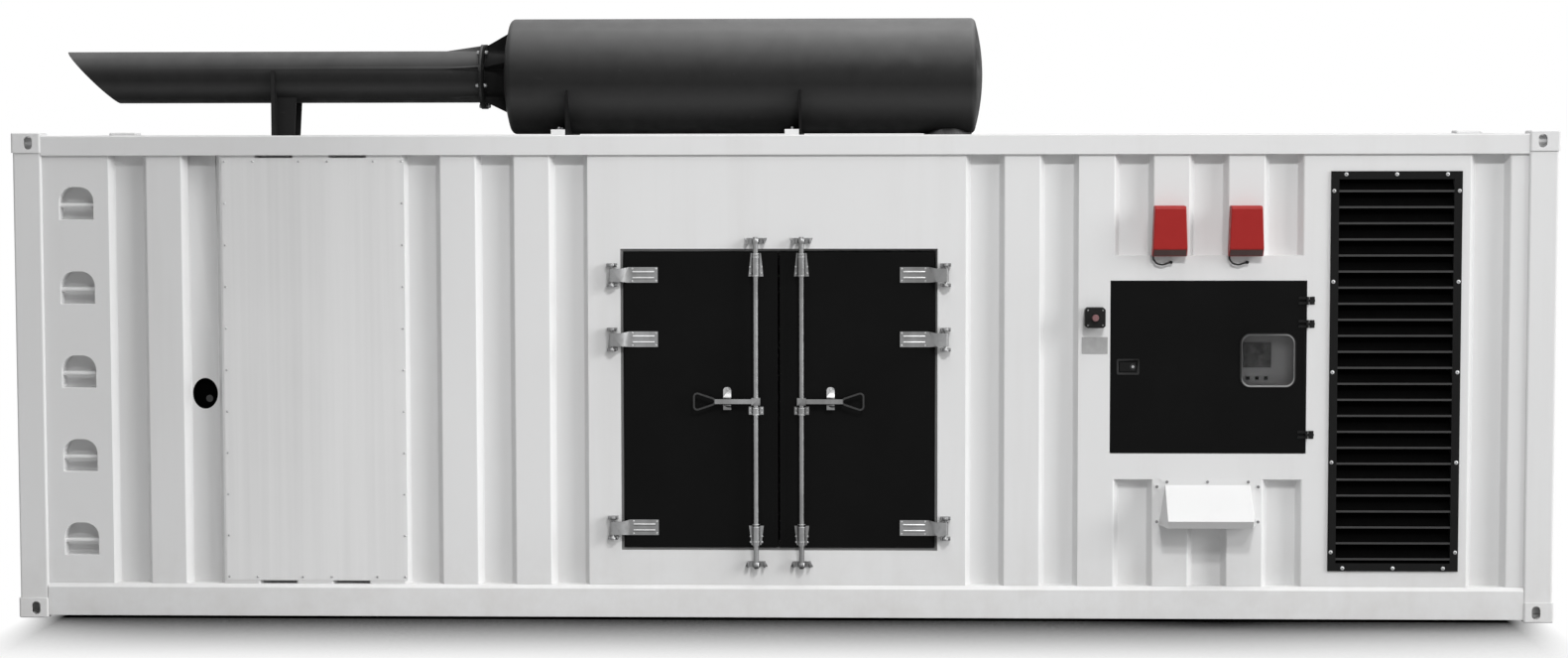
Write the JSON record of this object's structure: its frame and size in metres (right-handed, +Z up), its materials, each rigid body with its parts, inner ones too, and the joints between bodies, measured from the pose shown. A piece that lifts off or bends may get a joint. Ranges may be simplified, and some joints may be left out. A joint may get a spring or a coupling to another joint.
{
  "type": "enclosed diesel generator",
  "caption": "Containerised generator enclosure with corrugated walls, lockable double doors, control bay, built-in ladder, air louvres and a roof silencer with tail pipe.",
  "frame": {"origin": "middle of the footprint on the ground, centred between the four bottom corner castings' slots", "axes": "+X along the length to the right as seen from the doors, the front with the doors faces -Y, +Z up"},
  "size_m": [9.125, 2.623, 3.603],
  "materials": {
    "white_paint": "satin",
    "bare_plate": "satin",
    "floor_paint": "satin",
    "grey_seal": "satin",
    "black_paint": "satin",
    "zinc_plate": "satin",
    "cabinet_paint": "satin",
    "window_glass": "gloss",
    "rubber_seal": "satin",
    "red_plastic": "satin",
    "exhaust_paint": "satin"
  },
  "bodies": {
    "container": {"air_louvres": "black_paint", "alarm_sounders": "red_plastic", "bay_head_and_sill": "white_paint", "bay_side_panel": "white_paint", "blank_tag": "bare_plate", "bottom_side_rails": "white_paint", "control_cabinet": "cabinet_paint", "control_hinge_plates": "black_paint", "control_panel": "cabinet_paint", "corner_castings": "white_paint", "corner_posts": "white_paint", "cover_plate": "bare_plate", "door_frame": "grey_seal", "door_head_and_sill": "white_paint", "door_side_panels": "white_paint", "end_headers": "white_paint", "end_sills": "white_paint", "end_walls": "white_paint", "floor_cross_members": "floor_paint", "floor_plate": "floor_paint", "front_wall_at_bay": "white_paint", "front_wall_left": "white_paint", "front_wall_middle": "white_paint", "front_wall_right": "white_paint", "hinge_brackets": "zinc_plate", "inlet_stub": "exhaust_paint", "ladder_panel": "white_paint", "ladder_rungs": "white_paint", "lead_glands": "rubber_seal", "louvre_panel": "white_paint", "outlet_neck": "exhaust_paint", "rear_wall": "white_paint", "rod_keepers": "zinc_plate", "roof_pads": "white_paint", "roof_panel": "white_paint", "silencer": "exhaust_paint", "silencer_saddles": "exhaust_paint", "sounder_leads": "rubber_seal", "stop_box": "black_paint", "tail_pipe": "exhaust_paint", "tail_pipe_stand": "exhaust_paint", "top_side_rails": "white_paint", "vent_hood": "white_paint"},
    "left_door": {"left_door_leaf": "black_paint", "left_door_fittings": "zinc_plate"},
    "right_door": {"right_door_leaf": "black_paint", "right_door_fittings": "zinc_plate"},
    "left_rod": {"left_lock_rod": "zinc_plate", "left_lock_handle": "zinc_plate"},
    "right_rod": {"right_lock_rod": "zinc_plate", "right_lock_handle": "zinc_plate"},
    "control_door_body": {"control_door": "black_paint", "window_pane": "window_glass", "window_gasket": "rubber_seal", "control_hinge_leaves": "black_paint", "latch_dish": "black_paint"},
    "latch": {"latch_paddle": "black_paint"},
    "stop_button_body": {"stop_button": "red_plastic"}
  },
  "joints": [
    {"name": "left_door_hinge", "type": "hinge", "parent": "container", "child": "left_door", "pos_m": [-0.991, -1.234, 1.311], "axis": [0, 0, -1], "range_deg": [0, 150]},
    {"name": "right_door_hinge", "type": "hinge", "parent": "container", "child": "right_door", "pos_m": [0.981, -1.234, 1.311], "axis": [0, 0, 1], "range_deg": [0, 150]},
    {"name": "left_lock_rod_turn", "type": "hinge", "parent": "left_door", "child": "left_rod", "pos_m": [-0.14, -1.239, 1.3], "axis": [0, 0, -1], "range_deg": [-95, 0]},
    {"name": "right_lock_rod_turn", "type": "hinge", "parent": "right_door", "child": "right_rod", "pos_m": [0.13, -1.239, 1.3], "axis": [0, 0, 1], "range_deg": [-95, 0]},
    {"name": "control_door_hinge", "type": "hinge", "parent": "container", "child": "control_door_body", "pos_m": [3.104, -1.206, 1.508], "axis": [0, 0, 1], "range_deg": [0, 110]},
    {"name": "latch_paddle_lift", "type": "hinge", "parent": "control_door_body", "child": "latch", "pos_m": [2.054, -1.191, 1.536], "axis": [-1, 0, 0], "range_deg": [0, 30], "stiffness_Nm_per_rad": 0.2},
    {"name": "stop_button_push", "type": "slide", "parent": "container", "child": "stop_button_body", "axis": [0, 1, 0], "range_m": [0, 0.005], "stiffness_N_per_m": 400}
  ]
}
